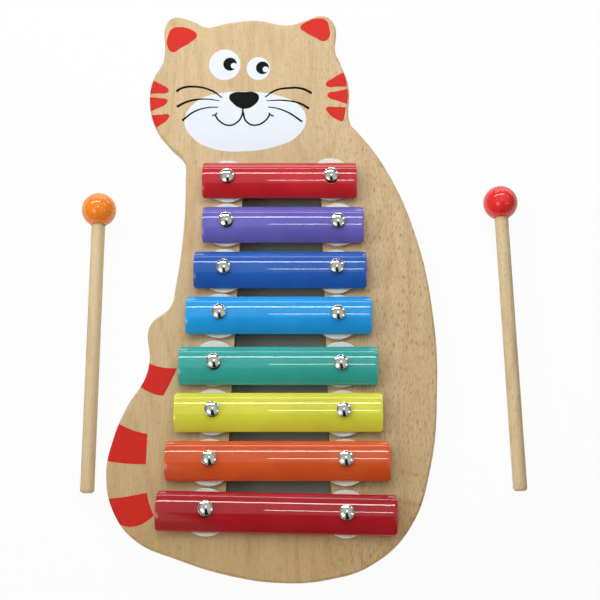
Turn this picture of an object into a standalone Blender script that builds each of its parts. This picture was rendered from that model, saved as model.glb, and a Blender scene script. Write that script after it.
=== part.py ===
# Toy metallophone: eight arched steel tone bars on a cat-shaped beech board, with two mallets
# The instrument is modelled from its own centre line and lowest row of nails, lying on a table
# at z = 0, and its root empty then brings the middle of the whole set to the origin.
import math

import bmesh
import bpy
from mathutils import Matrix, Vector

# Driving dimensions, in metres and degrees

# Board
BOARD_THICKNESS = 0.010
BOARD_EDGE_ROUND = 0.0015
OUTLINE_STEPS = 8

# Rows of tone bars, counted from the head (row 1, shortest bar) to the foot (row 8)
ROW_PITCH = 0.0313
REST_GAP = 0.0003

# Through slot under the bars: its side edges, from the centre line, at its two ends
SLOT_HEAD_LEFT = 0.0237
SLOT_HEAD_RIGHT = 0.0286
SLOT_FOOT_LEFT = 0.0330
SLOT_FOOT_RIGHT = 0.0347
SLOT_PAST_END_ROWS = 0.0030
SLOT_CORNER = 0.0050

# Felt washers
FELT_DIAMETER = 0.0302
FELT_THICKNESS = 0.0028
FELT_STEPS = 28

# Tone bars, stamped from steel strip with an arched section
BAR_WIDTH = 0.0250
BAR_SHEET = 0.0015
BAR_RISE = 0.0055
BAR_CORNER = 0.0020
BAR_ARCH_STEPS = 12
BAR_FLOAT = 0.0008

# Dome-headed nails
HEAD_DIAMETER = 0.0093
HEAD_HEIGHT = 0.0021
HEAD_RIM = 0.0009
SHANK_DIAMETER = 0.0024
SHANK_IN_BOARD = 0.0075
SHANK_POINT = 0.0025
NAIL_STEPS = 16
BAR_HOLE_PLAY = 0.0025
FELT_HOLE_PLAY = 0.0027

# Mallets
BALL_DIAMETER = 0.0230
STICK_DIAMETER = 0.0090
STICK_IN_BALL = 0.0125
STICK_END_ROUND = 0.0022
BALL_STEPS = 24
STICK_STEPS = 20

# Each row: colour, bar length, half the way between its nails, where the middle of its nails
# sits off its even place (X, Y), turn of the row of nails, how the loose bar lies on its nails
# (shift along X, share of its free way along Y, turn), and how far its left and right felt
# washers lie down along Y, as shares of their free way
ROWS = (
    ("crimson", 0.1036, 0.0348, 0.0006, 0.0006, 0.7, 0.0002, -0.76, -0.7, -0.50, -0.22),
    ("violet", 0.1071, 0.0372, 0.0027, 0.0008, -0.6, 0.0006, -0.78, 0.6, -0.69, -0.25),
    ("dark_blue", 0.1135, 0.0372, 0.0015, 0.0003, 0.2, 0.0000, -0.46, -0.2, -0.45, -0.81),
    ("light_blue", 0.1210, 0.0387, 0.0006, 0.0010, -0.6, 0.0001, -0.47, 0.6, -0.58, -0.61),
    ("teal", 0.1282, 0.0410, 0.0000, -0.0003, -0.7, 0.0005, -0.83, 0.7, -0.17, -0.08),
    ("yellow", 0.1332, 0.0419, 0.0005, 0.0004, -0.3, 0.0003, -0.61, 0.3, -0.52, -0.65),
    ("orange", 0.1422, 0.0431, 0.0004, 0.0010, -0.1, 0.0001, -0.63, 0.1, -0.96, -0.88),
    ("red", 0.1507, 0.0439, -0.0003, 0.0003, -1.7, 0.0003, -0.78, 0.6, -1.00, -0.34),
)

# Each mallet: ball's centre to the board's widest side, ball's centre above the lowest row,
# swing of the stick from the Y direction, length over all, colour of the ball
MALLETS = {
    "left": (0.0118, 0.1981, 0.2, 0.1986, "orange_paint"),
    "right": (0.0461, 0.2031, -1.7, 0.2023, "red_paint"),
}

# Outline of the board, counter-clockwise from the right ear, measured from the centre line
# Ears and head: x, and y above the top row
HEAD_POINTS = (
    (0.0310, 0.1235), (0.0171, 0.1195), (0.0070, 0.1164), (-0.0165, 0.1200), (-0.0365, 0.1179),
    (-0.0515, 0.1149), (-0.0625, 0.1200), (-0.0752, 0.1219), (-0.0801, 0.1159), (-0.0801, 0.0973),
    (-0.0808, 0.0895), (-0.0879, 0.0737), (-0.0895, 0.0580), (-0.0851, 0.0401), (-0.0749, 0.0262),
    (-0.0650, 0.0159), (-0.0634, 0.0120),
)
# Left side, with the tip of the curled tail: x, and y in rows above the lowest row
TAIL_SIDE_POINTS = (
    (-0.0631, 7.082), (-0.0634, 6.053), (-0.0678, 4.682), (-0.0710, 4.215), (-0.0826, 3.882),
    (-0.0852, 3.679), (-0.0836, 3.113), (-0.0860, 2.713), (-0.0974, 2.091), (-0.1052, 1.447),
    (-0.1088, 0.720),
)
# Foot: x, and y below the lowest row
FOOT_POINTS = (
    (-0.1025, 0.0024), (-0.0880, 0.0189), (-0.0620, 0.0299), (-0.0300, 0.0394), (0.0030, 0.0439),
    (0.0320, 0.0420), (0.0602, 0.0327), (0.0842, 0.0101),
)
# Right side: x, and y in rows above the lowest row
BACK_SIDE_POINTS = (
    (0.0979, 0.879), (0.1035, 2.441), (0.1026, 3.961), (0.0913, 5.886),
)
# Right of the neck and head: x, and y above the top row
CHEEK_POINTS = (
    (0.0700, 0.0144), (0.0530, 0.0374), (0.0495, 0.0414), (0.0483, 0.0705), (0.0424, 0.0879),
    (0.0395, 0.0953), (0.0383, 0.1181),
)

# Heights that follow from the sizes above
FELT_BASE_Z = BOARD_THICKNESS + REST_GAP
BAR_BASE_Z = FELT_BASE_Z + FELT_THICKNESS + REST_GAP
ARCH_RADIUS = (BAR_WIDTH ** 2 / 4 + BAR_RISE ** 2) / (2 * BAR_RISE)
ARCH_HALF_ANGLE = math.asin(BAR_WIDTH / 2 / ARCH_RADIUS)
BAR_CROWN_Z = BAR_BASE_Z + BAR_SHEET * math.cos(ARCH_HALF_ANGLE) + BAR_RISE
HEAD_BASE_Z = BAR_CROWN_Z + BAR_FLOAT + REST_GAP
TOP_ROW_Y = (len(ROWS) - 1) * ROW_PITCH
BORE_DIAMETER = STICK_DIAMETER + 2 * REST_GAP
BAR_SLIDE = BAR_HOLE_PLAY - REST_GAP
FELT_SLIDE = FELT_HOLE_PLAY - REST_GAP
TINY = 0.000001

# Colours as they look on screen, from 0 to 1, with roughness and metallic value
FINISHES = {
    "beech": ((0.82, 0.70, 0.53), 0.55, 0.0),
    "felt": ((0.92, 0.92, 0.89), 0.95, 0.0),
    "chrome": ((0.86, 0.86, 0.86), 0.12, 1.0),
    "stick_wood": ((0.86, 0.75, 0.58), 0.55, 0.0),
    "orange_paint": ((0.94, 0.50, 0.13), 0.20, 0.0),
    "red_paint": ((0.85, 0.14, 0.17), 0.20, 0.0),
    "crimson": ((0.70, 0.13, 0.19), 0.25, 0.0),
    "violet": ((0.38, 0.34, 0.66), 0.25, 0.0),
    "dark_blue": ((0.14, 0.34, 0.64), 0.25, 0.0),
    "light_blue": ((0.12, 0.56, 0.80), 0.25, 0.0),
    "teal": ((0.20, 0.59, 0.54), 0.25, 0.0),
    "yellow": ((0.80, 0.77, 0.22), 0.25, 0.0),
    "orange": ((0.77, 0.33, 0.14), 0.25, 0.0),
    "red": ((0.62, 0.12, 0.17), 0.25, 0.0),
}


def clear_scene():
    for found in list(bpy.data.objects):
        bpy.data.objects.remove(found, do_unlink=True)


def new_collection(name):
    made = bpy.data.collections.new(name)
    bpy.context.scene.collection.children.link(made)
    return made


def to_linear(value):
    if value <= 0.04045:
        return value / 12.92
    return ((value + 0.055) / 1.055) ** 2.4


def finish(name):
    material = bpy.data.materials.get(name)
    if material:
        return material
    colour, roughness, metallic = FINISHES[name]
    material = bpy.data.materials.new(name)
    material.use_nodes = True
    shader = material.node_tree.nodes["Principled BSDF"]
    shader.inputs["Base Color"].default_value = (*[to_linear(part) for part in colour], 1.0)
    shader.inputs["Roughness"].default_value = roughness
    shader.inputs["Metallic"].default_value = metallic
    return material


def add_empty(name, collection, parent=None):
    empty = bpy.data.objects.new(name, None)
    collection.objects.link(empty)
    empty.parent = parent
    return empty


def add_mesh_object(name, mesh, collection, parent, finish_name):
    mesh.materials.append(finish(finish_name))
    made = bpy.data.objects.new(name, mesh)
    collection.objects.link(made)
    made.parent = parent
    return made


def as_cutter(made):
    made.hide_render = True
    made.display_type = "WIRE"


def cut(target, cutter, label, operation="DIFFERENCE"):
    modifier = target.modifiers.new(label, "BOOLEAN")
    modifier.operation = operation
    modifier.solver = "EXACT"
    modifier.object = cutter


def smooth(mesh, sharp_angle):
    mesh.shade_smooth()
    mesh.set_sharp_from_angle(angle=math.radians(sharp_angle))


# Turned pieces: the profile runs down the outer side, from top to bottom
def turned_mesh(name, profile, closed=False):
    shape = bmesh.new()
    points = [shape.verts.new((radius, 0.0, height)) for radius, height in profile]
    for first, second in zip(points, points[1:]):
        shape.edges.new((first, second))
    if closed:
        shape.edges.new((points[-1], points[0]))
    mesh = bpy.data.meshes.new(name)
    shape.to_mesh(mesh)
    shape.free()
    return mesh


def turn(made, steps):
    screw = made.modifiers.new("turned", "SCREW")
    screw.axis = "Z"
    screw.steps = steps
    screw.render_steps = steps
    screw.use_merge_vertices = True
    screw.merge_threshold = TINY
    screw.use_smooth_shade = True


# Flat outlines: a filled 2D curve with thickness, made a closed mesh
def plate_from_curve(name, curve_data, collection):
    curve_data.dimensions = "2D"
    curve_data.fill_mode = "BOTH"
    drawn = bpy.data.objects.new(name + "_curve", curve_data)
    collection.objects.link(drawn)
    depsgraph = bpy.context.evaluated_depsgraph_get()
    mesh = bpy.data.meshes.new_from_object(drawn.evaluated_get(depsgraph))
    bpy.data.objects.remove(drawn, do_unlink=True)
    shape = bmesh.new()
    shape.from_mesh(mesh)
    bmesh.ops.remove_doubles(shape, verts=shape.verts, dist=TINY)
    bmesh.ops.recalc_face_normals(shape, faces=shape.faces)
    shape.to_mesh(mesh)
    shape.free()
    mesh.name = name
    return mesh


def rounded_corners(corners, radius, steps=4):
    points = []
    count = len(corners)
    for index, corner in enumerate(corners):
        here = Vector(corner)
        back = (Vector(corners[index - 1]) - here).normalized()
        onward = (Vector(corners[(index + 1) % count]) - here).normalized()
        half_angle = back.angle(onward) / 2
        centre = here + (back + onward).normalized() * radius / math.sin(half_angle)
        start = here + back * radius / math.tan(half_angle) - centre
        sweep = math.pi - 2 * half_angle
        for step in range(steps + 1):
            points.append(centre + Matrix.Rotation(sweep * step / steps, 2) @ start)
    return points


def polygon_prism(name, points, half_height, collection):
    curve_data = bpy.data.curves.new(name, "CURVE")
    curve_data.extrude = half_height
    spline = curve_data.splines.new("POLY")
    spline.points.add(len(points) - 1)
    for knot, point in zip(spline.points, points):
        knot.co = (point[0], point[1], 0.0, 1.0)
    spline.use_cyclic_u = True
    return plate_from_curve(name, curve_data, collection)


# Board
def board_outline():
    outline = [(x, TOP_ROW_Y + above) for x, above in HEAD_POINTS]
    outline += [(x, rows * ROW_PITCH) for x, rows in TAIL_SIDE_POINTS]
    outline += [(x, -below) for x, below in FOOT_POINTS]
    outline += [(x, rows * ROW_PITCH) for x, rows in BACK_SIDE_POINTS]
    outline += [(x, TOP_ROW_Y + above) for x, above in CHEEK_POINTS]
    return outline


def board_blank(collection):
    curve_data = bpy.data.curves.new("board_outline", "CURVE")
    curve_data.resolution_u = OUTLINE_STEPS
    curve_data.extrude = BOARD_THICKNESS / 2 - BOARD_EDGE_ROUND
    curve_data.bevel_depth = BOARD_EDGE_ROUND
    curve_data.bevel_resolution = 1
    curve_data.offset = -BOARD_EDGE_ROUND
    outline = board_outline()
    spline = curve_data.splines.new("BEZIER")
    spline.bezier_points.add(len(outline) - 1)
    for knot, (x, y) in zip(spline.bezier_points, outline):
        knot.co = (x, y, 0.0)
        knot.handle_left_type = "AUTO"
        knot.handle_right_type = "AUTO"
    spline.use_cyclic_u = True
    return plate_from_curve("board", curve_data, collection)


def slot_cutter(collection, root):
    head_y = TOP_ROW_Y + SLOT_PAST_END_ROWS
    foot_y = -SLOT_PAST_END_ROWS
    corners = (
        (SLOT_FOOT_RIGHT, foot_y),
        (SLOT_HEAD_RIGHT, head_y),
        (-SLOT_HEAD_LEFT, head_y),
        (-SLOT_FOOT_LEFT, foot_y),
    )
    outline = rounded_corners(corners, SLOT_CORNER)
    mesh = polygon_prism("slot_cutter", outline, BOARD_THICKNESS, collection)
    cutter = bpy.data.objects.new("slot_cutter", mesh)
    collection.objects.link(cutter)
    cutter.parent = root
    cutter.location.z = BOARD_THICKNESS / 2
    as_cutter(cutter)
    return cutter


def hole_cutter(name, places, diameter, low_z, high_z, collection, parent):
    shape = bmesh.new()
    for x, y in places:
        middle = Matrix.Translation((x, y, (low_z + high_z) / 2))
        bmesh.ops.create_cone(
            shape,
            cap_ends=True,
            segments=NAIL_STEPS,
            radius1=diameter / 2,
            radius2=diameter / 2,
            depth=high_z - low_z,
            matrix=middle,
        )
    mesh = bpy.data.meshes.new(name)
    shape.to_mesh(mesh)
    shape.free()
    cutter = bpy.data.objects.new(name, mesh)
    collection.objects.link(cutter)
    cutter.parent = parent
    as_cutter(cutter)
    return cutter


def make_board(model, cutters, root, rows):
    mesh = board_blank(cutters)
    board = add_mesh_object("board", mesh, model, root, "beech")
    board.location.z = BOARD_THICKNESS / 2
    cut(board, slot_cutter(cutters, root), "slot")
    places = []
    for row in rows:
        for side in (-1, 1):
            x = side * row["nail_x"]
            along = x * math.cos(row["turn"])
            places.append((row["x"] + along, row["y"] + x * math.sin(row["turn"])))
    deep = BOARD_THICKNESS - SHANK_IN_BOARD - REST_GAP
    bored = hole_cutter(
        "nail_hole_cutter",
        places,
        SHANK_DIAMETER + 2 * REST_GAP,
        deep,
        2 * BOARD_THICKNESS,
        cutters,
        root,
    )
    cut(board, bored, "nail holes")


# Tone bars
def arched_strip(name, length):
    shape = bmesh.new()
    bmesh.ops.create_grid(shape, x_segments=1, y_segments=BAR_ARCH_STEPS, size=1.0)
    for point in shape.verts:
        angle = point.co.y * ARCH_HALF_ANGLE
        x = point.co.x * length / 2
        y = ARCH_RADIUS * math.sin(angle)
        point.co = (x, y, ARCH_RADIUS * (math.cos(angle) - 1))
    mesh = bpy.data.meshes.new(name)
    shape.to_mesh(mesh)
    shape.free()
    return mesh


def make_bar(number, row, model, cutters):
    name = "tone_bar_%d" % number
    lie = add_empty(name + "_lie", model, row["empty"])
    lie.location = (row["shift_x"], row["shift_y"], BAR_CROWN_Z)
    lie.rotation_euler.z = row["bar_turn"]
    bar = add_mesh_object(name, arched_strip(name, row["length"]), model, lie, row["colour"])
    smooth(bar.data, 30)
    solid = bar.modifiers.new("sheet", "SOLIDIFY")
    solid.thickness = BAR_SHEET
    solid.offset = -1.0
    half_length = row["length"] / 2
    half_width = BAR_WIDTH / 2
    corners = (
        (half_length, -half_width),
        (half_length, half_width),
        (-half_length, half_width),
        (-half_length, -half_width),
    )
    plan = polygon_prism(
        name + "_plan", rounded_corners(corners, BAR_CORNER), 2 * BAR_RISE, cutters
    )
    corner_cutter = bpy.data.objects.new(name + "_plan_cutter", plan)
    cutters.objects.link(corner_cutter)
    corner_cutter.parent = lie
    as_cutter(corner_cutter)
    cut(bar, corner_cutter, "rounded corners", "INTERSECT")
    holes = hole_cutter(
        name + "_hole_cutter",
        [(-row["nail_x"], 0.0), (row["nail_x"], 0.0)],
        SHANK_DIAMETER + 2 * BAR_HOLE_PLAY,
        -BAR_RISE,
        BAR_RISE,
        cutters,
        lie,
    )
    cut(bar, holes, "nail holes")


# Felt washers and dome-headed nails
def felt_profile():
    hole = SHANK_DIAMETER / 2 + FELT_HOLE_PLAY
    rim = FELT_DIAMETER / 2
    return ((hole, FELT_THICKNESS), (rim, FELT_THICKNESS), (rim, 0.0), (hole, 0.0))


def nail_profile(dome_steps=5):
    reach = HEAD_DIAMETER / 2
    shank = SHANK_DIAMETER / 2
    cap = HEAD_HEIGHT - HEAD_RIM
    radius = (reach ** 2 + cap ** 2) / (2 * cap)
    spread = math.asin(reach / radius)
    points = []
    for step in range(dome_steps + 1):
        angle = spread * step / dome_steps
        height = HEAD_HEIGHT - radius * (1 - math.cos(angle))
        points.append((radius * math.sin(angle), height))
    point_z = BOARD_THICKNESS - SHANK_IN_BOARD - HEAD_BASE_Z
    points.append((reach, 0.0))
    points.append((shank, 0.0))
    points.append((shank, point_z + SHANK_POINT))
    points.append((0.0, point_z))
    return points


def make_fixings(number, row, model, felt_mesh, nail_mesh):
    for side, direction in (("left", -1), ("right", 1)):
        x = direction * row["nail_x"]
        washer_name = "felt_washer_%d_%s" % (number, side)
        washer = add_mesh_object(washer_name, felt_mesh.copy(), model, row["empty"], "felt")
        washer.location = (x, row["felt_" + side] * FELT_SLIDE, FELT_BASE_Z)
        turn(washer, FELT_STEPS)
        nail_name = "dome_nail_%d_%s" % (number, side)
        nail = add_mesh_object(nail_name, nail_mesh.copy(), model, row["empty"], "chrome")
        nail.location = (x, 0.0, HEAD_BASE_Z)
        turn(nail, NAIL_STEPS)


# Mallets
def ball_profile(arc_steps=12):
    radius = BALL_DIAMETER / 2
    bore = BORE_DIAMETER / 2
    sweep = math.pi - math.asin(bore / radius)
    points = []
    for step in range(arc_steps + 1):
        angle = sweep * step / arc_steps
        points.append((radius * math.sin(angle), radius * math.cos(angle)))
    floor = STICK_IN_BALL - radius + REST_GAP
    points.append((bore, floor))
    points.append((0.0, floor))
    return points


def stick_profile(length, round_steps=3):
    radius = STICK_DIAMETER / 2
    top = STICK_IN_BALL - BALL_DIAMETER / 2
    tail = BALL_DIAMETER / 2 - length
    points = [(0.0, top), (radius, top)]
    for step in range(round_steps + 1):
        angle = math.pi / 2 * step / round_steps
        across = radius - STICK_END_ROUND * (1 - math.cos(angle))
        points.append((across, tail + STICK_END_ROUND * (1 - math.sin(angle))))
    points.append((0.0, tail))
    return points


def make_mallet(side, model, root):
    clear, ball_y, swing, length, paint = MALLETS[side]
    edge_x = [x for x, y in board_outline()]
    ball_x = min(edge_x) - clear
    if side == "right":
        ball_x = max(edge_x) + clear
    ball_z = BALL_DIAMETER / 2
    tail_drop = ball_z - STICK_DIAMETER / 2
    tilt = math.asin(tail_drop / (length - ball_z))
    mallet = add_empty("mallet_" + side, model, root)
    mallet.location = (ball_x, ball_y, ball_z)
    heading = Matrix.Rotation(math.radians(-swing), 3, "Z")
    lean = Matrix.Rotation(tilt - math.pi / 2, 3, "X")
    mallet.rotation_euler = (heading @ lean).to_euler()
    ball_name = "mallet_ball_" + side
    ball = add_mesh_object(ball_name, turned_mesh(ball_name, ball_profile()), model, mallet, paint)
    turn(ball, BALL_STEPS)
    stick_name = "mallet_stick_" + side
    profile = stick_profile(length)
    mesh = turned_mesh(stick_name, profile)
    stick = add_mesh_object(stick_name, mesh, model, mallet, "stick_wood")
    turn(stick, STICK_STEPS)


def read_rows(model, root):
    rows = []
    for index, values in enumerate(ROWS):
        colour, length, nail_x, off_x, off_y, nail_turn = values[:6]
        shift_x, slide_y, bar_turn, felt_left, felt_right = values[6:]
        empty = add_empty("row_%d" % (index + 1), model, root)
        row = {
            "colour": colour,
            "length": length,
            "nail_x": nail_x,
            "turn": math.radians(nail_turn),
            "shift_x": shift_x,
            "shift_y": slide_y * BAR_SLIDE,
            "bar_turn": math.radians(bar_turn),
            "felt_left": felt_left,
            "felt_right": felt_right,
            "x": off_x,
            "y": TOP_ROW_Y - index * ROW_PITCH + off_y,
            "empty": empty,
        }
        empty.location = (row["x"], row["y"], 0.0)
        empty.rotation_euler.z = row["turn"]
        rows.append(row)
    return rows


# The set's frame: its middle goes to the origin, its underside stays at z = 0
def centre_on_origin(model, root):
    bpy.context.view_layer.update()
    depsgraph = bpy.context.evaluated_depsgraph_get()
    corners = []
    for made in model.objects:
        if made.type == "MESH":
            shown = made.evaluated_get(depsgraph)
            corners += [shown.matrix_world @ point.co for point in shown.data.vertices]
    for axis in (0, 1):
        values = [corner[axis] for corner in corners]
        root.location[axis] = -(min(values) + max(values)) / 2


def main():
    clear_scene()
    model = new_collection("metallophone")
    cutters = new_collection("cutters")
    root = add_empty("metallophone_root", model)
    rows = read_rows(model, root)
    make_board(model, cutters, root, rows)
    felt_mesh = turned_mesh("felt_washer", felt_profile(), closed=True)
    nail_mesh = turned_mesh("dome_nail", nail_profile())
    for index, row in enumerate(rows):
        make_bar(index + 1, row, model, cutters)
        make_fixings(index + 1, row, model, felt_mesh, nail_mesh)
    for side in MALLETS:
        make_mallet(side, model, root)
    centre_on_origin(model, root)
    bpy.context.view_layer.update()


main()
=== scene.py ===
import math

import bpy
from mathutils import Matrix, Vector


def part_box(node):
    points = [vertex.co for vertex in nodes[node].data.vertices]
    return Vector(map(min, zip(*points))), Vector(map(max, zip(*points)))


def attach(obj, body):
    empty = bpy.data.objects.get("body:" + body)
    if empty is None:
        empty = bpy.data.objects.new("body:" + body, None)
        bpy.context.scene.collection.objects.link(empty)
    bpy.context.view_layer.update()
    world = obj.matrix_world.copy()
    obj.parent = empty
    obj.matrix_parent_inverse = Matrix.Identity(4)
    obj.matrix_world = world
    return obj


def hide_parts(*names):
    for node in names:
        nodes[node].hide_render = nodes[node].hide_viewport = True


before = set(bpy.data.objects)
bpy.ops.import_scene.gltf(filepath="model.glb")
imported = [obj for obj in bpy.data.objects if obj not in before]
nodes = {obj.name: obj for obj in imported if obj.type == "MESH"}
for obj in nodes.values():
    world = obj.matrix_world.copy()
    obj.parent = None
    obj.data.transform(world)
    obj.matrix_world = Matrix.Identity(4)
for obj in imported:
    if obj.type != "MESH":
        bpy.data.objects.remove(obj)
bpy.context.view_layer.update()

mm = 0.001
# slack for picking vertices by their place
slack = 0.02 * mm
print("frame loaded:", len(nodes), "nodes")

# the board's printed face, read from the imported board
boardLow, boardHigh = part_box("board")
boardTop = boardHigh.z


# small helpers
def freshStart():
    if bpy.context.object and bpy.context.object.mode != "OBJECT":
        bpy.ops.object.mode_set(mode="OBJECT")
    bpy.ops.object.select_all(action="DESELECT")


def current(name):
    made = bpy.context.object
    made.name = name
    made.data.name = name
    return made


def makeActive(made):
    freshStart()
    made.select_set(True)
    bpy.context.view_layer.objects.active = made


def settle(made):
    # the object goes to the origin, its place goes into its mesh
    makeActive(made)
    bpy.ops.object.transform_apply(location=True, rotation=True, scale=True)


def applyAll(made):
    makeActive(made)
    for modifier in list(made.modifiers):
        bpy.ops.object.modifier_apply(modifier=modifier.name)


def cutWith(made, cutter, operation="DIFFERENCE"):
    modifier = made.modifiers.new("cut", "BOOLEAN")
    modifier.operation = operation
    modifier.solver = "EXACT"
    modifier.object = cutter
    applyAll(made)
    bpy.data.objects.remove(cutter, do_unlink=True)


def softenEdges(made, width, segments=2, angle=35):
    bevel = made.modifiers.new("soften", "BEVEL")
    bevel.width = width
    bevel.segments = segments
    bevel.limit_method = "ANGLE"
    bevel.angle_limit = math.radians(angle)
    applyAll(made)


def smoothByAngle(made, angle=30):
    makeActive(made)
    bpy.ops.object.shade_smooth_by_angle(angle=math.radians(angle))


def selectVerts(made, test):
    # in edit mode: selects the vertices whose place passes the test
    bpy.ops.mesh.select_all(action="DESELECT")
    bpy.ops.object.mode_set(mode="OBJECT")
    for vert in made.data.vertices:
        vert.select = test(vert.co)
    bpy.ops.object.mode_set(mode="EDIT")
    bpy.ops.mesh.select_mode(type="VERT")


def copyPiece(source, name):
    made = source.copy()
    made.data = source.data.copy()
    made.name = name
    made.data.name = name
    bpy.context.scene.collection.objects.link(made)
    return made


def dress(made, material):
    made.data.materials.clear()
    made.data.materials.append(material)


# colours are written as they look on screen
def screen(red, green, blue):
    def linear(value):
        value = value / 255
        if value <= 0.04045:
            return value / 12.92
        return ((value + 0.055) / 1.055) ** 2.4
    return (linear(red), linear(green), linear(blue), 1.0)


# materials
def newMaterial(name):
    material = bpy.data.materials.new(name)
    material.use_nodes = True
    tree = material.node_tree
    shader = tree.nodes["Principled BSDF"]
    return material, tree, shader


def addNode(tree, kind, **values):
    node = tree.nodes.new(kind)
    for key, value in values.items():
        setattr(node, key, value)
    return node


def feed(tree, value, socket):
    # a socket takes another node's output or a plain value
    if hasattr(value, "links"):
        tree.links.new(value, socket)
    elif value is not None:
        socket.default_value = value


def placeParts(tree, kind="Object"):
    place = addNode(tree, "ShaderNodeTexCoord")
    parts = addNode(tree, "ShaderNodeSeparateXYZ")
    tree.links.new(place.outputs[kind], parts.inputs[0])
    return parts.outputs


def stretchedPlace(tree, scale, lean=0.0):
    # turned first, stretched after, so that long features keep their lean
    place = addNode(tree, "ShaderNodeTexCoord")
    turned = addNode(tree, "ShaderNodeMapping")
    turned.inputs["Rotation"].default_value = (0.0, 0.0, lean)
    mapping = addNode(tree, "ShaderNodeMapping")
    mapping.inputs["Scale"].default_value = scale
    tree.links.new(place.outputs["Object"], turned.inputs["Vector"])
    tree.links.new(turned.outputs["Vector"], mapping.inputs["Vector"])
    return mapping.outputs["Vector"]


def noiseOn(tree, scale, detail=3.0, roughness=0.5, lean=0.0):
    # the scale says how many waves of noise a metre holds along each axis
    noise = addNode(tree, "ShaderNodeTexNoise")
    noise.inputs["Scale"].default_value = 1.0
    noise.inputs["Detail"].default_value = detail
    noise.inputs["Roughness"].default_value = roughness
    tree.links.new(stretchedPlace(tree, scale, lean), noise.inputs["Vector"])
    return noise.outputs["Fac"]


def greyRamp(tree, source, low, high, dark=0.0, light=1.0):
    node = addNode(tree, "ShaderNodeValToRGB")
    for element, place, grey in zip(node.color_ramp.elements, (low, high), (dark, light)):
        element.position = place
        element.color = (grey, grey, grey, 1)
    tree.links.new(source, node.inputs["Fac"])
    return node.outputs["Color"]


def mixColour(tree, factor, first, second, blend="MIX"):
    node = addNode(tree, "ShaderNodeMix", data_type="RGBA", blend_type=blend)
    feed(tree, factor, node.inputs[0])
    feed(tree, first, node.inputs[6])
    feed(tree, second, node.inputs[7])
    return node.outputs[2]


def mathNode(tree, operation, first, second=None):
    node = addNode(tree, "ShaderNodeMath", operation=operation)
    feed(tree, first, node.inputs[0])
    feed(tree, second, node.inputs[1])
    return node.outputs[0]


def smoothStep(tree, source, low, high):
    node = addNode(tree, "ShaderNodeMapRange", interpolation_type="SMOOTHSTEP")
    tree.links.new(source, node.inputs["Value"])
    node.inputs["From Min"].default_value = low
    node.inputs["From Max"].default_value = high
    return node.outputs["Result"]


def bumpOn(tree, shader, source, strength, distance):
    bump = addNode(tree, "ShaderNodeBump")
    bump.inputs["Strength"].default_value = strength
    bump.inputs["Distance"].default_value = distance
    tree.links.new(source, bump.inputs["Height"])
    tree.links.new(bump.outputs["Normal"], shader.inputs["Normal"])


beechLook = {
    "light": screen(221, 194, 152),
    "dark": screen(203, 171, 127),
    "grain": (1100.0, 55.0, 1100.0),
    "bands": (130.0, 5.0, 130.0),
    "grainShare": 0.6,
    "fleckColour": screen(156, 118, 76),
    "fleck": (1700.0, 215.0, 1700.0),
    "fleckLean": 0.2,
    "fleckDepth": 0.75,
    "fleckLeftShare": 0.4,
    "fleckFrom": -10.0 * mm,
    "fleckTo": 50.0 * mm,
    "swirl": (26.0, 7.0, 26.0),
    "figureLines": 44.0,
    "figureColour": (0.93, 0.89, 0.84, 1),
    # painted shade: toward the foot the wood colour is darkened and warmed
    "paintedFootShade": (0.91, 0.86, 0.75, 1),
    "paintedShadeFrom": -60.0 * mm,
    "paintedShadeTo": -185.0 * mm,
    "roughness": (0.44, 0.58),
    "specular": 0.3,
    "bump": (0.1, 0.1 * mm),
}


def fleckShare(tree, look, x):
    # the flecks are fainter on the left and full on the right
    rightward = smoothStep(tree, x, look["fleckFrom"], look["fleckTo"])
    least = look["fleckLeftShare"]
    return mathNode(tree, "ADD", mathNode(tree, "MULTIPLY", rightward, 1 - least), least)


def beechMaterial(name, look):
    # fine long grain over broad bands, short leaning flecks, a faint figure, and a painted shade that
    # darkens and warms the foot
    material, tree, shader = newMaterial(name)
    x, y = placeParts(tree)[:2]
    bands = noiseOn(tree, look["bands"], detail=4.0)
    grain = noiseOn(tree, look["grain"])
    grainRamp = greyRamp(tree, grain, 0.32, 0.68)
    both = mixColour(tree, look["grainShare"], greyRamp(tree, bands, 0.32, 0.68), grainRamp)
    wood = mixColour(tree, both, look["dark"], look["light"])
    flecks = noiseOn(tree, look["fleck"], detail=1.0, lean=look["fleckLean"])
    fleckRamp = greyRamp(tree, flecks, 0.55, 0.69, 0.0, look["fleckDepth"])
    spots = mathNode(tree, "MULTIPLY", fleckRamp, fleckShare(tree, look, x))
    wood = mixColour(tree, spots, wood, look["fleckColour"])
    swirl = noiseOn(tree, look["swirl"], detail=1.5)
    figure = mathNode(tree, "SINE", mathNode(tree, "MULTIPLY", swirl, look["figureLines"]))
    figureRamp = greyRamp(tree, figure, 0.2, 1.0, 0.0, 0.8)
    wood = mixColour(tree, figureRamp, wood, look["figureColour"], "MULTIPLY")
    # painted shade: the wood is multiplied darker and warmer toward the foot
    headward = smoothStep(tree, y, look["paintedShadeTo"], look["paintedShadeFrom"])
    paintedShade = mixColour(tree, headward, look["paintedFootShade"], (1, 1, 1, 1))
    wood = mixColour(tree, 1.0, wood, paintedShade, "MULTIPLY")
    tree.links.new(wood, shader.inputs["Base Color"])
    tree.links.new(greyRamp(tree, grain, 0.2, 0.8, *look["roughness"]), shader.inputs["Roughness"])
    shader.inputs["Specular IOR Level"].default_value = look["specular"]
    bumpOn(tree, shader, grain, *look["bump"])
    return material


paintLook = {
    "cloud": (40.0, 40.0, 40.0),
    "fine": (500.0, 500.0, 500.0),
    "roughness": (0.34, 0.42),
    "specular": 0.03,
    "coatIor": 1.58,
    "coatRoughness": 0.03,
}


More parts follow.
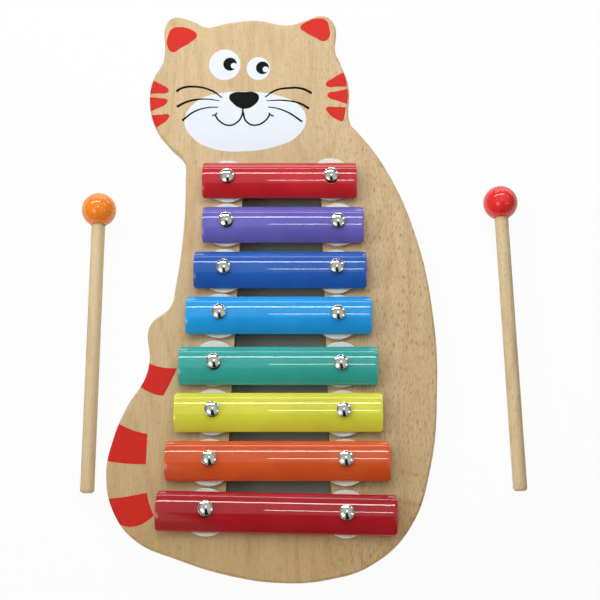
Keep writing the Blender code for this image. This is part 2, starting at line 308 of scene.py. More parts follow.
def paintMaterial(name, values):
    # flat enamel colour under a clear mirror-like skin
    material, tree, shader = newMaterial(name)
    cloud = noiseOn(tree, paintLook["cloud"], detail=2.0)
    cloudRamp = greyRamp(tree, cloud, 0.35, 0.65)
    paint = mixColour(tree, cloudRamp, screen(*values["colour"]), screen(*values["darker"]))
    tree.links.new(paint, shader.inputs["Base Color"])
    fine = noiseOn(tree, paintLook["fine"], detail=1.0)
    tree.links.new(greyRamp(tree, fine, 0.2, 0.8, *paintLook["roughness"]), shader.inputs["Roughness"])
    shader.inputs["Specular IOR Level"].default_value = paintLook["specular"]
    shader.inputs["Coat Weight"].default_value = 1.0
    shader.inputs["Coat IOR"].default_value = paintLook["coatIor"]
    shader.inputs["Coat Roughness"].default_value = paintLook["coatRoughness"]
    return material


chromeLook = {
    "colour": (0.80, 0.81, 0.79, 1),
    "scuff": (700.0, 700.0, 700.0),
    "roughness": (0.03, 0.08),
}


def chromeMaterial():
    material, tree, shader = newMaterial("chrome")
    shader.inputs["Base Color"].default_value = chromeLook["colour"]
    shader.inputs["Metallic"].default_value = 1.0
    scuff = noiseOn(tree, chromeLook["scuff"])
    rough = greyRamp(tree, scuff, 0.35, 0.75, *chromeLook["roughness"])
    tree.links.new(rough, shader.inputs["Roughness"])
    return material


woolLook = {
    "fibre": (1500.0, 1500.0, 1500.0),
    "dark": screen(214, 213, 203),
    "light": screen(240, 240, 232),
    "roughness": 0.95,
    "specular": 0.1,
    "sheen": 0.15,
    "bump": (0.4, 0.3 * mm),
}


def feltMaterial():
    material, tree, shader = newMaterial("felt")
    fibre = noiseOn(tree, woolLook["fibre"], detail=6.0, roughness=0.7)
    wool = mixColour(tree, greyRamp(tree, fibre, 0.3, 0.7), woolLook["dark"], woolLook["light"])
    tree.links.new(wool, shader.inputs["Base Color"])
    shader.inputs["Roughness"].default_value = woolLook["roughness"]
    shader.inputs["Specular IOR Level"].default_value = woolLook["specular"]
    shader.inputs["Sheen Weight"].default_value = woolLook["sheen"]
    bumpOn(tree, shader, fibre, *woolLook["bump"])
    return material


inkLook = {"roughness": (0.5, 0.62), "specular": 0.1, "bump": (0.05, 0.1 * mm)}


def inkMaterial(name, colour, shade=0.92):
    # thin matt ink that lets a trace of the grain through
    material, tree, shader = newMaterial(name)
    grain = noiseOn(tree, beechLook["grain"])
    dimmer = tuple(part * shade for part in colour[:3]) + (1.0,)
    ink = mixColour(tree, greyRamp(tree, grain, 0.3, 0.7), dimmer, colour)
    tree.links.new(ink, shader.inputs["Base Color"])
    tree.links.new(greyRamp(tree, grain, 0.2, 0.8, *inkLook["roughness"]), shader.inputs["Roughness"])
    shader.inputs["Specular IOR Level"].default_value = inkLook["specular"]
    bumpOn(tree, shader, grain, *inkLook["bump"])
    return material


beech = beechMaterial("beech", beechLook)
stickLook = dict(
    beechLook,
    light=screen(231, 209, 169),
    dark=screen(219, 193, 149),
    fleckColour=screen(200, 170, 124),
    paintedFootShade=(1, 1, 1, 1),
)
stickWood = beechMaterial("stickWood", stickLook)
chrome = chromeMaterial()
felt = feltMaterial()
dress(nodes["board"], beech)
print("materials made")

# tone bars: arched steel sheet, rounded at the corners, with a nail hole near each end
barLook = {
    "width": 25.0 * mm,
    "rise": 5.5 * mm,
    "sheet": 1.5 * mm,
    "corner": 2.0 * mm,
    "edge": 0.25 * mm,
    "hole": 7.4 * mm,
    "across": 28,
    "along": 60,
}
barRows = {
    1: {"length": 103.6 * mm, "nailX": 34.8 * mm, "turn": 0.0, "slot": "bar_crimson",
        "colour": (199, 38, 48), "darker": (188, 32, 42)},
    2: {"length": 107.1 * mm, "nailX": 37.2 * mm, "turn": 0.0, "slot": "bar_violet",
        "colour": (110, 102, 192), "darker": (102, 94, 184)},
    3: {"length": 113.5 * mm, "nailX": 37.2 * mm, "turn": 0.0, "slot": "bar_dark_blue",
        "colour": (40, 97, 185), "darker": (36, 89, 177)},
    4: {"length": 121.0 * mm, "nailX": 38.7 * mm, "turn": 0.0, "slot": "bar_light_blue",
        "colour": (38, 163, 240), "darker": (34, 154, 232)},
    5: {"length": 128.2 * mm, "nailX": 41.0 * mm, "turn": 0.0, "slot": "bar_teal",
        "colour": (60, 172, 164), "darker": (54, 163, 155)},
    6: {"length": 133.2 * mm, "nailX": 41.9 * mm, "turn": 0.0, "slot": "bar_yellow",
        "colour": (232, 228, 72), "darker": (223, 219, 66)},
    7: {"length": 142.2 * mm, "nailX": 43.1 * mm, "turn": 0.0, "slot": "bar_orange",
        "colour": (226, 93, 42), "darker": (216, 85, 38)},
    8: {"length": 150.7 * mm, "nailX": 43.9 * mm, "turn": -1.1, "slot": "bar_red",
        "colour": (186, 32, 42), "darker": (174, 27, 37)},
}


def makeBar(row, values):
    name = "toneBar%d" % row
    node = "tone_bar_%d" % row
    low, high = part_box(node)
    middle = (low + high) / 2
    half = barLook["width"] / 2
    rise = barLook["rise"]
    radius = (half * half + rise * rise) / (2 * rise)
    reach = math.asin(half / radius)
    freshStart()
    bpy.ops.mesh.primitive_grid_add(x_subdivisions=barLook["along"], y_subdivisions=1, size=1.0)
    bar = current(name)
    bar.scale = (values["length"], 1.0, 1.0)
    settle(bar)
    bpy.ops.object.mode_set(mode="EDIT")
    selectVerts(bar, lambda place: place.y > 0)
    bpy.ops.mesh.delete(type="VERT")
    bpy.ops.mesh.select_all(action="SELECT")
    bpy.ops.transform.translate(value=(0.0, 0.5 - half, -rise))
    bpy.ops.mesh.spin(
        steps=barLook["across"], angle=2 * reach, center=(0.0, 0.0, -radius), axis=(1.0, 0.0, 0.0)
    )
    bpy.ops.mesh.select_all(action="SELECT")
    bpy.ops.mesh.remove_doubles(threshold=0.00001)
    bpy.ops.mesh.normals_make_consistent(inside=False)
    bpy.ops.object.mode_set(mode="OBJECT")
    if bar.data.polygons[len(bar.data.polygons) // 2].normal.z < 0:
        bar.data.flip_normals()
    sheet = bar.modifiers.new("sheet", "SOLIDIFY")
    sheet.thickness = barLook["sheet"]
    sheet.offset = -1.0
    applyAll(bar)
    freshStart()
    bpy.ops.mesh.primitive_cube_add(size=1.0)
    plan = current(name + "Plan")
    plan.scale = (values["length"], barLook["width"], 4 * rise)
    settle(plan)
    bpy.ops.object.mode_set(mode="EDIT")
    bpy.ops.mesh.select_mode(type="EDGE")
    bpy.ops.mesh.select_all(action="DESELECT")
    bpy.ops.object.mode_set(mode="OBJECT")
    for edge in plan.data.edges:
        first, second = [plan.data.vertices[i].co for i in edge.vertices]
        edge.select = abs(first.z - second.z) > rise
    bpy.ops.object.mode_set(mode="EDIT")
    bpy.ops.mesh.bevel(offset=barLook["corner"], segments=6)
    bpy.ops.object.mode_set(mode="OBJECT")
    cutWith(bar, plan, "INTERSECT")
    for side in (-1, 1):
        freshStart()
        bpy.ops.mesh.primitive_cylinder_add(
            vertices=40, radius=barLook["hole"] / 2, depth=4 * rise, location=(side * values["nailX"], 0, 0)
        )
        cutWith(bar, bpy.context.object)
    softenEdges(bar, barLook["edge"])
    bar.rotation_euler.z = math.radians(values["turn"])
    bar.location = (middle.x, middle.y, high.z)
    settle(bar)
    smoothByAngle(bar, 40)
    dress(bar, paintMaterial(name + "Paint", values))
    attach(bar, node)
    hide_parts(node)
    return bar


for row, values in barRows.items():
    makeBar(row, values)
print("tone bars made")

# domed nails
nailLook = {
    "head": 9.3 * mm,
    "height": 2.1 * mm,
    "rim": 0.9 * mm,
    "lip": 0.4 * mm,
    "shank": 2.4 * mm,
    "length": 20.6 * mm,
    "tip": 2.5 * mm,
}


def makeNail():
    reach = nailLook["head"] / 2
    cap = nailLook["height"] - nailLook["rim"]
    radius = (reach * reach + cap * cap) / (2 * cap)
    freshStart()
    bpy.ops.mesh.primitive_uv_sphere_add(segments=48, ring_count=128, radius=radius)
    nail = current("domeNail")
    nail.location.z = nailLook["height"] - radius
    settle(nail)
    bpy.ops.object.mode_set(mode="EDIT")
    bpy.ops.mesh.select_all(action="SELECT")
    bpy.ops.mesh.bisect(plane_co=(0, 0, nailLook["rim"]), plane_no=(0, 0, 1), clear_inner=True)
    ring = (0.0, 0.0, -nailLook["rim"])
    selectVerts(nail, lambda place: place.z < nailLook["rim"] + slack)
    bpy.ops.mesh.extrude_region_move(TRANSFORM_OT_translate={"value": ring})
    bpy.ops.mesh.extrude_region_move()
    narrow = nailLook["shank"] / nailLook["head"]
    bpy.ops.transform.resize(value=(narrow, narrow, 1.0))
    straight = nailLook["length"] - nailLook["height"] - nailLook["tip"]
    bpy.ops.mesh.extrude_region_move(TRANSFORM_OT_translate={"value": (0, 0, -straight)})
    bpy.ops.mesh.extrude_region_move(TRANSFORM_OT_translate={"value": (0, 0, -nailLook["tip"])})
    bpy.ops.mesh.merge(type="CENTER")
    bpy.ops.mesh.select_all(action="SELECT")
    bpy.ops.mesh.normals_make_consistent(inside=False)
    bpy.ops.object.mode_set(mode="OBJECT")
    softenEdges(nail, nailLook["lip"], segments=5, angle=50)
    smoothByAngle(nail, 45)
    return nail


pattern = makeNail()
for row in barRows:
    for side in ("left", "right"):
        node = "dome_nail_%d_%s" % (row, side)
        low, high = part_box(node)
        nail = copyPiece(pattern, "domeNail%d%s" % (row, side.title()))
        nail.location = ((low.x + high.x) / 2, (low.y + high.y) / 2, high.z - nailLook["height"])
        settle(nail)
        dress(nail, chrome)
        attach(nail, "board")
        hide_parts(node)
bpy.data.objects.remove(pattern, do_unlink=True)
print("nails made")

# felt washers
feltLook = {
    "outer": 30.2 * mm,
    "hole": 7.8 * mm,
    "thick": 2.8 * mm,
    "edge": 0.6 * mm,
    "fuzz": 0.25 * mm,
    "fuzzSize": 2.2 * mm,
    "turn": 0.9,
}


def makeFelt():
    freshStart()
    bpy.ops.mesh.primitive_circle_add(vertices=72, radius=feltLook["outer"] / 2)
    washer = current("feltWasher")
    bpy.ops.object.mode_set(mode="EDIT")
    bpy.ops.mesh.select_all(action="SELECT")
    steps = 8
    ratio = (feltLook["hole"] / feltLook["outer"]) ** (1 / steps)
    for step in range(steps):
        bpy.ops.mesh.extrude_region_move()
        bpy.ops.transform.resize(value=(ratio, ratio, 1.0))
    bpy.ops.mesh.select_all(action="SELECT")
    bpy.ops.mesh.extrude_region_move(TRANSFORM_OT_translate={"value": (0, 0, feltLook["thick"])})
    bpy.ops.mesh.select_all(action="SELECT")
    bpy.ops.mesh.normals_make_consistent(inside=False)
    bpy.ops.object.mode_set(mode="OBJECT")
    softenEdges(washer, feltLook["edge"], segments=3, angle=50)
    clouds = bpy.data.textures.new("feltClouds", "CLOUDS")
    clouds.noise_scale = feltLook["fuzzSize"]
    rough = washer.modifiers.new("fuzz", "DISPLACE")
    rough.texture = clouds
    rough.strength = feltLook["fuzz"]
    rough.mid_level = 1.0
    rough.texture_coords = "LOCAL"
    applyAll(washer)
    smoothByAngle(washer, 60)
    return washer


pattern = makeFelt()
for row in barRows:
    for side in ("left", "right"):
        node = "felt_washer_%d_%s" % (row, side)
        low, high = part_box(node)
        washer = copyPiece(pattern, "feltWasher%d%s" % (row, side.title()))
        # each washer is turned by its own angle, so that no two look alike
        washer.rotation_euler.z = row * feltLook["turn"] + len(side)
        washer.location = ((low.x + high.x) / 2, (low.y + high.y) / 2, low.z)
        settle(washer)
        dress(washer, felt)
        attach(washer, "board")
        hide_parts(node)
bpy.data.objects.remove(pattern, do_unlink=True)
print("felt washers made")

# mallets: a painted wooden ball glued on a dowel
malletLook = {
    "ball": 23.0 * mm,
    "stick": 9.0 * mm,
    "inBall": 12.5 * mm,
    "gap": 0.3 * mm,
    "boreEdge": 0.35 * mm,
    "endRound": 2.2 * mm,
}
mallets = {
    "left": {"length": 198.6 * mm, "swing": 0.2, "colour": (255, 144, 36), "darker": (248, 132, 30)},
    "right": {"length": 202.3 * mm, "swing": -1.7, "colour": (240, 46, 46), "darker": (228, 40, 42)},
}


def malletPlace(side, values):
    ballRadius = malletLook["ball"] / 2
    drop = ballRadius - malletLook["stick"] / 2
    tilt = math.asin(drop / (values["length"] - ballRadius))
    heading = Matrix.Rotation(math.radians(-values["swing"]), 4, "Z")
    lean = Matrix.Rotation(tilt - math.pi / 2, 4, "X")
    low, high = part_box("mallet_ball_" + side)
    spot = Vector(((low.x + high.x) / 2, high.y - ballRadius, ballRadius))
    return Matrix.Translation(spot) @ heading @ lean


def makeBall(side, values):
    radius = malletLook["ball"] / 2
    bore = malletLook["stick"] / 2 + malletLook["gap"]
    rim = -math.sqrt(radius * radius - bore * bore)
    freshStart()
    bpy.ops.mesh.primitive_uv_sphere_add(segments=72, ring_count=48, radius=radius)
    ball = current("malletBall" + side.title())
    bpy.ops.object.mode_set(mode="EDIT")
    bpy.ops.mesh.select_all(action="SELECT")
    bpy.ops.mesh.bisect(plane_co=(0, 0, rim), plane_no=(0, 0, 1), clear_inner=True)
    selectVerts(ball, lambda place: place.z < rim + slack)
    depth = malletLook["inBall"] + malletLook["gap"] - radius - rim
    bpy.ops.mesh.extrude_region_move(TRANSFORM_OT_translate={"value": (0, 0, depth)})
    bpy.ops.mesh.edge_face_add()
    bpy.ops.mesh.select_all(action="SELECT")
    bpy.ops.mesh.normals_make_consistent(inside=False)
    bpy.ops.object.mode_set(mode="OBJECT")
    softenEdges(ball, malletLook["boreEdge"], segments=3, angle=50)
    ball.matrix_world = malletPlace(side, values)
    settle(ball)
    smoothByAngle(ball, 40)
    dress(ball, paintMaterial("ballPaint" + side.title(), values))
    return ball


def makeStick(side, values):
    radius = malletLook["stick"] / 2
    top = malletLook["inBall"] - malletLook["ball"] / 2
    tail = malletLook["ball"] / 2 - values["length"]
    freshStart()
    bpy.ops.mesh.primitive_cylinder_add(
        vertices=48, radius=radius, depth=top - tail, location=(0, 0, (top + tail) / 2)
    )
    stick = current("malletStick" + side.title())
    settle(stick)
    bpy.ops.object.mode_set(mode="EDIT")
    bpy.ops.mesh.select_mode(type="EDGE")
    bpy.ops.mesh.select_all(action="DESELECT")
    bpy.ops.object.mode_set(mode="OBJECT")
    for edge in stick.data.edges:
        first, second = [stick.data.vertices[i].co for i in edge.vertices]
        edge.select = max(first.z, second.z) < tail + slack
    bpy.ops.object.mode_set(mode="EDIT")
    bpy.ops.mesh.bevel(offset=malletLook["endRound"], segments=8)
    bpy.ops.object.mode_set(mode="OBJECT")
    stick.matrix_world = malletPlace(side, values)
    settle(stick)
    smoothByAngle(stick, 40)
    dress(stick, stickWood)
    return stick


for side, values in mallets.items():
    ball = makeBall(side, values)
    stick = makeStick(side, values)
    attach(ball, "mallet_" + side)
    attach(stick, "mallet_" + side)
    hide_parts("mallet_ball_" + side)
    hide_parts("mallet_stick_" + side)
print("mallets made")

# printed marks: thin layers of ink, placed in mm from the board's lower left corner
printLook = {
    "proud": 0.05 * mm,
    "sunk": 0.3 * mm,
    "step": 0.03 * mm,
    "edge": 0.02 * mm,
    "stampDepth": 1.2 * mm,
    "stampHeight": 2.0 * mm,
    "inset": 0.27,
}
inks = {
    "red": inkMaterial("redInk", screen(216, 47, 36)),
    "white": inkMaterial("whiteInk", screen(230, 234, 243), 0.98),
    "black": inkMaterial("blackInk", screen(16, 20, 20)),
}
# outlines run round the marks, "corner" keeps a knot sharp, the rest are smooth
sharp = "corner"
redMarks = {
    "earLeft": [(38.8, 377.6), (47.7, 375.3), (51.3, 371.1), (47.9, 366.7), (40.0, 361.4), (34.5, 358.4),
                (30.8, 362.7), (30.9, 370.2), (33.6, 376.2)],
    "earRight": [(123.9, 377.2), (128.5, 381.7), (136.6, 384.3), (141.9, 383.0), (144.3, 377.2),
                 (144.5, 370.2), (141.0, 366.9), (134.1, 369.7), (126.5, 374.4)],
    "cheekLeft1": [(17.0, 339.1, sharp), (27.2, 334.1), (32.6, 329.8), (32.1, 328.2), (25.0, 327.3),
                   (17.0, 326.8, sharp)],
    "cheekLeft2": [(16.0, 324.8, sharp), (26.7, 323.8), (32.0, 322.4), (31.6, 320.2), (23.8, 315.5),
                   (16.0, 312.0, sharp)],
    "cheekLeft3": [(17.0, 310.6, sharp), (27.9, 311.6), (33.5, 311.2), (33.1, 308.9), (25.0, 302.0),
                   (20.0, 298.0, sharp)],
    "cheekRight1": [(154.0, 343.3, sharp), (146.0, 338.4), (141.7, 334.8), (142.2, 332.9), (149.9, 332.4),
                    (156.3, 332.6, sharp), (155.6, 338.0)],
    "cheekRight2": [(156.7, 330.9, sharp), (149.1, 328.9), (142.9, 327.0), (143.3, 324.7), (149.9, 321.8),
                    (156.3, 319.4, sharp), (156.9, 325.1)],
    "cheekRight3": [(155.5, 317.1, sharp), (148.2, 317.3), (141.8, 316.4), (142.5, 313.8), (151.0, 307.0),
                    (152.9, 306.7), (154.3, 310.0)],
    "tailBand1": [(22.0, 139.5, sharp), (33.2, 135.6), (43.8, 134.9, sharp), (39.5, 125.2),
                  (35.4, 116.9, sharp), (29.8, 117.9), (14.0, 126.5, sharp)],
    "tailBand2": [(2.0, 101.4, sharp), (17.3, 94.5), (25.9, 92.3, sharp), (25.6, 73.2, sharp),
                  (14.8, 73.4), (-6.0, 76.2, sharp)],
    "tailBand3": [(-4.0, 51.3, sharp), (10.5, 52.4), (26.8, 55.4, sharp), (28.6, 48.4),
                  (31.6, 41.3, sharp), (26.5, 37.1), (19.5, 34.5), (12.5, 35.0), (3.0, 40.0, sharp)],
}
faceMarks = {
    "muzzle": ("white", 0, [(44.2, 307.2), (52.6, 321.7), (69.0, 327.5), (86.0, 328.7), (106.1, 326.4),
                            (123.8, 317.8), (128.0, 308.1), (121.8, 295.8), (106.4, 288.1), (86.0, 284.7),
                            (65.6, 286.2), (49.6, 295.1)]),
    "nose": ("black", 1, [(74.7, 325.2), (77.5, 327.8), (85.0, 328.4), (93.0, 327.8), (95.3, 325.0),
                          (93.2, 319.7), (85.2, 315.9), (77.8, 319.5)]),
}
eyes = {
    "Left": {
        "place": (71.2, 348.9), "radius": (10.9, 11.5),
        "pupil": (74.9, 349.3), "pupilRadius": (4.7, 4.9),
        "glint": (77.6, 348.1), "glintRadius": (2.15, 2.15),
    },
    "Right": {
        "place": (94.7, 346.0), "radius": (8.1, 8.6),
        "pupil": (97.6, 346.5), "pupilRadius": (4.55, 4.75),
        "glint": (99.8, 345.4), "glintRadius": (2.15, 2.15),
    },
}
# drawn lines, each from its wide end: widths in mm at the first and last knot
lines = {
    "mouthLeft": ((1.5, 1.5), [(84.2, 316.2), (84.0, 312.2), (81.0, 306.4), (74.7, 303.7),
                               (67.9, 307.2), (65.1, 311.6)]),
    "mouthRight": ((1.5, 1.5), [(84.3, 314.0), (86.9, 306.4), (92.8, 303.8), (99.9, 307.2),
                                (102.9, 311.6)]),
    "tickLeft": ((1.3, 1.3), [(63.1, 310.9), (65.1, 311.5), (66.6, 312.9)]),
    "tickRight": ((1.3, 1.3), [(102.2, 312.9), (103.5, 311.4), (105.6, 310.5)]),
    "whiskerLeft1": ((1.85, 1.3), [(37.9, 328.8), (42.0, 331.4), (49.6, 332.4), (61.6, 329.8),
                                   (69.8, 324.2)]),
    "whiskerLeft2": ((1.85, 1.1), [(38.6, 317.4), (45.8, 321.2), (57.7, 323.1), (68.1, 321.9)]),
    "whiskerLeft3": ((1.75, 1.1), [(42.6, 307.2), (50.8, 313.8), (60.0, 316.8), (67.2, 317.0)]),
    "whiskerRight1": ((1.85, 1.3), [(132.0, 327.6), (125.2, 330.9), (116.0, 331.4), (106.5, 329.5),
                                    (99.6, 324.6)]),
    "whiskerRight2": ((1.85, 1.1), [(130.0, 316.1), (123.6, 319.9), (112.5, 322.1), (100.4, 321.9)]),
    "whiskerRight3": ((1.75, 1.1), [(125.2, 306.4), (115.7, 313.1), (108.0, 316.2), (101.6, 317.2)]),
}


def onFace(x, y):
    return (boardLow.x + (x - printLook["inset"]) * mm, boardLow.y + y * mm)


def toMesh(name, curveData):
    made = bpy.data.objects.new(name, curveData)
    bpy.context.scene.collection.objects.link(made)
    makeActive(made)
    bpy.ops.object.convert(target="MESH")
    made = bpy.context.object
    bpy.ops.object.mode_set(mode="EDIT")
    bpy.ops.mesh.select_all(action="SELECT")
    bpy.ops.mesh.remove_doubles(threshold=0.000001)
    bpy.ops.mesh.normals_make_consistent(inside=False)
    bpy.ops.object.mode_set(mode="OBJECT")
    return made


def outlinePlate(name, knots, base, height):
    # a closed outline, filled and made a plate that stands on its base height
    curveData = bpy.data.curves.new(name, "CURVE")
    curveData.dimensions = "2D"
    curveData.fill_mode = "BOTH"
    curveData.extrude = height / 2
    curveData.resolution_u = 10
    spline = curveData.splines.new("BEZIER")
    spline.bezier_points.add(len(knots) - 1)
    for point, knot in zip(spline.bezier_points, knots):
        x, y = onFace(knot[0], knot[1])
        point.co = (x, y, 0.0)
        kind = "VECTOR" if len(knot) > 2 else "AUTO"
        point.handle_left_type = kind
        point.handle_right_type = kind
    spline.use_cyclic_u = True
    made = toMesh(name, curveData)
    made.location.z = base + height / 2
    settle(made)
    return made


def finishMark(made, ink):
    dress(made, inks[ink])
    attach(made, "board")


def inkTop(layer):
    return boardTop + printLook["proud"] + layer * printLook["step"]


def printMark(name, ink, layer, knots):
    base = boardTop - printLook["sunk"]
    made = outlinePlate(name, knots, base, inkTop(layer) - base)
    softenEdges(made, printLook["edge"], segments=1, angle=60)
    finishMark(made, ink)


def boardStencil():
    stencil = copyPiece(nodes["board"], "stencil")
    stencil.parent = None
    for key in list(stencil.keys()):
        del stencil[key]
    makeActive(stencil)
    bpy.ops.object.mode_set(mode="EDIT")
    bpy.ops.mesh.select_all(action="SELECT")
    bpy.ops.mesh.remove_doubles(threshold=0.00001)
    bpy.ops.object.mode_set(mode="OBJECT")
    stencil.location.z += printLook["proud"]
    settle(stencil)
    return stencil


def stampMark(name, knots):
    # red marks run off the board, so the board's own shape trims them
    made = outlinePlate(name, knots, boardTop - printLook["stampDepth"], printLook["stampHeight"])
    cutWith(made, boardStencil(), "INTERSECT")
    finishMark(made, "red")


def ovalKnots(x, y, radiusX, radiusY):
    turns = [math.radians(angle) for angle in range(0, 360, 30)]
    return [(x + radiusX * math.cos(turn), y + radiusY * math.sin(turn)) for turn in turns]


def printEye(side, values):
    printMark("eye" + side, "white", 0, ovalKnots(*values["place"], *values["radius"]))
    base = boardTop - printLook["sunk"]
    height = inkTop(1) - base
    pupilKnots = ovalKnots(*values["pupil"], *values["pupilRadius"])
    pupil = outlinePlate("pupil" + side, pupilKnots, base, height)
    glintKnots = ovalKnots(*values["glint"], *values["glintRadius"])
    glint = outlinePlate("glint" + side, glintKnots, base - mm, height + 2 * mm)
    cutWith(pupil, glint)
    finishMark(pupil, "black")


def drawLine(name, widths, points):
    # a brush line with round ends that narrows along its way, pressed flat
    first, last = widths
    curveData = bpy.data.curves.new(name, "CURVE")
    curveData.dimensions = "3D"
    curveData.bevel_depth = first * mm / 2
    curveData.bevel_resolution = 2
    curveData.use_fill_caps = True
    curveData.resolution_u = 12
    spline = curveData.splines.new("BEZIER")
    spline.bezier_points.add(len(points) - 1)
    for order, (point, (x, y)) in enumerate(zip(spline.bezier_points, points)):
        px, py = onFace(x, y)
        point.co = (px, py, 0.0)
        point.radius = 1 + (last / first - 1) * order / (len(points) - 1)
        point.handle_left_type = "AUTO"
        point.handle_right_type = "AUTO"
    made = toMesh(name, curveData)
    made.scale.z = (inkTop(2) - boardTop) / (first * mm / 2)
    made.location.z = boardTop
    settle(made)
    finishMark(made, "black")


for name, knots in redMarks.items():
    stampMark(name, knots)
for name, (ink, layer, knots) in faceMarks.items():
    printMark(name, ink, layer, knots)
for side, values in eyes.items():
    printEye(side, values)
for name, (widths, points) in lines.items():
    drawLine(name, widths, points)
print("printed marks made")


# floor, world, lamps and camera
# the floor is white round the object; under the board its colour is painted dark, a painted shade seen
# through the slot
shade = {
    "middle": ((boardLow.x + boardHigh.x) / 2 + 2.5 * mm, -40.0 * mm),
    "reach": (42 * mm, 116 * mm),
    # painted shade: the floor's dark colour under the board
    "colour": (0.34, 0.36, 0.31, 1),
}
floorLook = {
    "size": 8.0,
    "drop": 0.5 * mm,
    "colour": (0.8, 0.8, 0.79, 1),
    "roughness": 0.9,
    "whiteness": 0.95,
}


def outsidePaintedShade(tree):
    place = placeParts(tree)
    past = []
    for axis in (0, 1):
        offset = mathNode(tree, "SUBTRACT", place[axis], shade["middle"][axis])
        away = mathNode(tree, "ABSOLUTE", offset)
        past.append(mathNode(tree, "GREATER_THAN", away, shade["reach"][axis]))
    return mathNode(tree, "MAXIMUM", past[0], past[1])


def makeFloor():
    freshStart()
    bpy.ops.mesh.primitive_plane_add(size=floorLook["size"], location=(0, 0, -floorLook["drop"]))
    floor = current("floor")
    material, tree, shader = newMaterial("paleFloor")
    outside = outsidePaintedShade(tree)
    # the floor's colour holds a painted shade under the board and is pale outside it
    tone = mixColour(tree, outside, shade["colour"], floorLook["colour"])
    tree.links.new(tone, shader.inputs["Base Color"])
    shader.inputs["Roughness"].default_value = floorLook["roughness"]
    shader.inputs["Specular IOR Level"].default_value = 0.0
    glow = addNode(tree, "ShaderNodeEmission")
    path = addNode(tree, "ShaderNodeLightPath")
    seen = mathNode(tree, "MAXIMUM", path.outputs["Is Camera Ray"], path.outputs["Is Glossy Ray"])
    glowing = mathNode(tree, "MULTIPLY", seen, outside)
    whiteness = mathNode(tree, "MULTIPLY", glowing, floorLook["whiteness"])
    blend = addNode(tree, "ShaderNodeMixShader")
    tree.links.new(whiteness, blend.inputs[0])
    tree.links.new(shader.outputs[0], blend.inputs[1])
    tree.links.new(glow.outputs[0], blend.inputs[2])
    tree.links.new(blend.outputs[0], tree.nodes["Material Output"].inputs["Surface"])
    dress(floor, material)


# white to the camera, an even faint light, and for reflections a studio: a grey ceiling that darkens
# down the walls, a bright strip over the horizon on the head side, and a dark wedge on the foot side
room = {
    "backdrop": (0.97, 0.97, 0.97, 1),
    "light": (0.03, 0.03, 0.03, 1),
    "ceiling": (0.50, 0.53, 0.47, 1),
    "wall": (0.20, 0.19, 0.18, 1),
    "wallTop": 0.60,
    "ceilingFrom": 0.86,
    "strip": 3.0,
    "stripTop": 0.13,
    "stripSoft": 0.03,
    "stripSide": 0.76,
    "stripSideSoft": 0.1,
    "stripTurn": 0.3,
    "wedgeFrom": -0.09,
    "wedgeHalf": 0.12,
    "wedgeSpread": 0.12,
    "wedgeLean": 0.16,
    "wedgeSoft": 0.03,
    "wedgeLeast": 0.04,
}


def makeWorld():
    world = bpy.data.worlds.new("studio")
    bpy.context.scene.world = world
    world.use_nodes = True
    tree = world.node_tree
    x, y, z = placeParts(tree, "Generated")
    upward = smoothStep(tree, z, room["wallTop"], room["ceilingFrom"])
    walls = mixColour(tree, upward, room["wall"], room["ceiling"])
    low = smoothStep(tree, z, room["stripTop"] + room["stripSoft"], room["stripTop"])
    turned = mathNode(tree, "ADD", y, mathNode(tree, "MULTIPLY", x, room["stripTurn"]))
    headSide = smoothStep(tree, turned, room["stripSide"], room["stripSide"] + room["stripSideSoft"])
    strip = mathNode(tree, "MULTIPLY", mathNode(tree, "MULTIPLY", low, headSide), room["strip"])
    leaning = mathNode(tree, "ADD", x, mathNode(tree, "MULTIPLY", y, room["wedgeLean"]))
    widened = mathNode(tree, "MULTIPLY", y, room["wedgeSpread"])
    away = mathNode(tree, "ADD", mathNode(tree, "ABSOLUTE", leaning), widened)
    clear = smoothStep(tree, away, room["wedgeHalf"], room["wedgeHalf"] + room["wedgeSoft"])
    over = smoothStep(tree, y, room["wedgeFrom"] - room["wedgeSoft"], room["wedgeFrom"] + room["wedgeSoft"])
    lit = mathNode(tree, "MAXIMUM", mathNode(tree, "MAXIMUM", clear, over), room["wedgeLeast"])
    shown = mixColour(tree, 1.0, walls, lit, "MULTIPLY")
    shown = mixColour(tree, 1.0, shown, strip, "ADD")
    path = addNode(tree, "ShaderNodeLightPath")
    colour = mixColour(tree, path.outputs["Is Glossy Ray"], room["light"], shown)
    colour = mixColour(tree, path.outputs["Is Camera Ray"], colour, room["backdrop"])
    background = tree.nodes["Background"]
    tree.links.new(colour, background.inputs["Color"])
    background.inputs["Strength"].default_value = 1.0


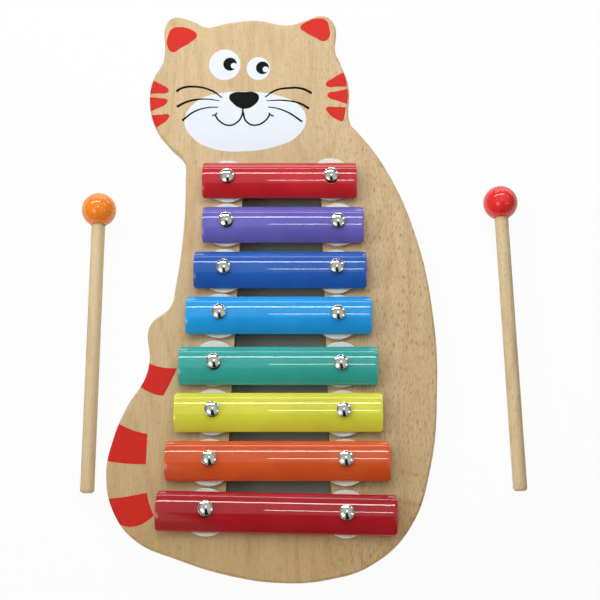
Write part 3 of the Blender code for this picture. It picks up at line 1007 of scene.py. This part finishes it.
# mirror lamps only show in glossy surfaces, light lamps only light
mirrorLamps = {
    "tube": {"place": (-3.5, 8.23, 8.73), "aim": (-3.5, 0, 0), "size": (13.0, 0.85), "power": 540.0},
    "lowTube": {"place": (-1.0, 11.35, 3.9), "aim": (-1.0, 0, 0), "size": (12.0, 0.6), "power": 140.0},
    "nearTube": {"place": (0.15, 0.565, 3.5), "aim": (0.15, 0.565, 0), "size": (0.56, 0.16), "power": 3.6},
    "window": {"place": (-0.88, -0.69, 1.66), "size": (0.85, 0.6), "power": 3.2},
    "paneHead": {"place": (1.27, 0.96, 1.21), "size": (0.3, 0.3), "power": 0.9},
    "paneFoot": {"place": (1.35, -0.44, 1.41), "size": (0.3, 0.3), "power": 0.9},
}
lightLamps = {
    "headPanel": {"place": (0.0, 2.2, 0.9), "size": (2.4, 0.4), "power": 6.6},
    "footPanel": {"place": (0.0, -1.3, 0.6), "size": (1.6, 0.5), "power": 6.4, "colour": (1.0, 0.94, 0.76)},
    "leftPanel": {"place": (-1.3, 0.0, 0.9), "size": (0.8, 0.5), "power": 6.2},
    "headBox": {"place": (-0.05, 0.4, 0.45), "size": (0.8, 0.5), "power": 3.4, "colour": (0.97, 1.0, 1.0)},
    "topBox": {"place": (0.0, 0.0, 0.75), "size": (0.4, 0.4), "power": 0.9},
}


def addLamp(name, values, kind):
    lampData = bpy.data.lights.new(name, "AREA")
    lampData.shape = "RECTANGLE"
    lampData.size, lampData.size_y = values["size"]
    lampData.energy = values["power"]
    lampData.color = values.get("colour", (1.0, 1.0, 1.0))
    lamp = bpy.data.objects.new(name, lampData)
    bpy.context.scene.collection.objects.link(lamp)
    lamp.location = values["place"]
    heading = Vector(values.get("aim", (0, 0, 0))) - Vector(values["place"])
    lamp.rotation_euler = heading.to_track_quat("-Z", "Y").to_euler()
    lamp.visible_camera = False
    lamp.visible_glossy = kind == "mirror"
    lamp.visible_diffuse = kind == "light"


cameraLook = {"place": (0.0001, -0.1599, 0.654), "tilt": 0.2243, "sensor": 36.0, "lens": 60.0}


def makeCamera():
    cameraData = bpy.data.cameras.new("camera")
    cameraData.sensor_width = cameraLook["sensor"]
    cameraData.lens = cameraLook["lens"]
    camera = bpy.data.objects.new("camera", cameraData)
    bpy.context.scene.collection.objects.link(camera)
    camera.location = cameraLook["place"]
    camera.rotation_euler = (cameraLook["tilt"], 0.0, 0.0)
    bpy.context.scene.camera = camera


makeFloor()
makeWorld()
for name, values in mirrorLamps.items():
    addLamp(name, values, "mirror")
for name, values in lightLamps.items():
    addLamp(name, values, "light")
makeCamera()
bpy.context.scene.view_settings.view_transform = "Standard"
print("stage set")
